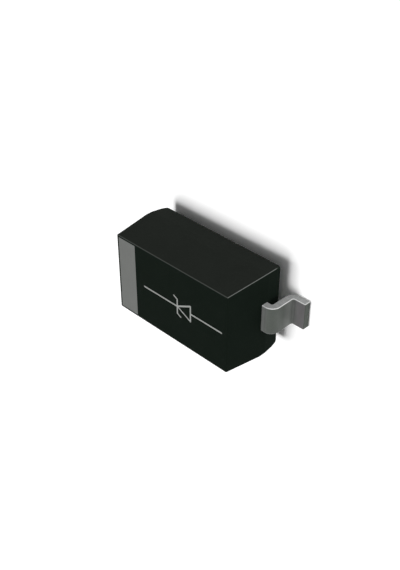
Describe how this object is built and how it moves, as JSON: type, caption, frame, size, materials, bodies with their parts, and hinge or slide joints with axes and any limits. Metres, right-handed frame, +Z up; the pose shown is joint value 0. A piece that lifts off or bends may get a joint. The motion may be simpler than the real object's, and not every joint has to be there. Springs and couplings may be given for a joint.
{
  "type": "surface mount zener diode",
  "caption": "Small black moulded diode with drafted sides, a grey cathode band across one end of its top face, and a flat gull-wing solder lead at each end.",
  "frame": {"origin": "on the board's plane, level with the undersides of the two feet, under the middle of the body", "axes": "+X along the body from the cathode end to the anode end, +Y across the body, +Z up from the board to the marked face"},
  "size_m": [0.0036, 0.0016, 0.0013],
  "materials": {
    "moulding_compound": "fine matt moulded grain",
    "tin_plated_strip": "satin tin plate",
    "silicon": "polished, with sawn sides",
    "solder": "dull reflowed solder",
    "gold_wire": "bright drawn wire",
    "band_ink": "matt printed ink"
  },
  "bodies": {
    "root": {"body": "moulding_compound", "cathode_lead": "tin_plated_strip", "anode_lead": "tin_plated_strip", "zener_die": "silicon", "die_attach": "solder", "bond_wire": "gold_wire", "cathode_band": "band_ink"}
  },
  "joints": []
}
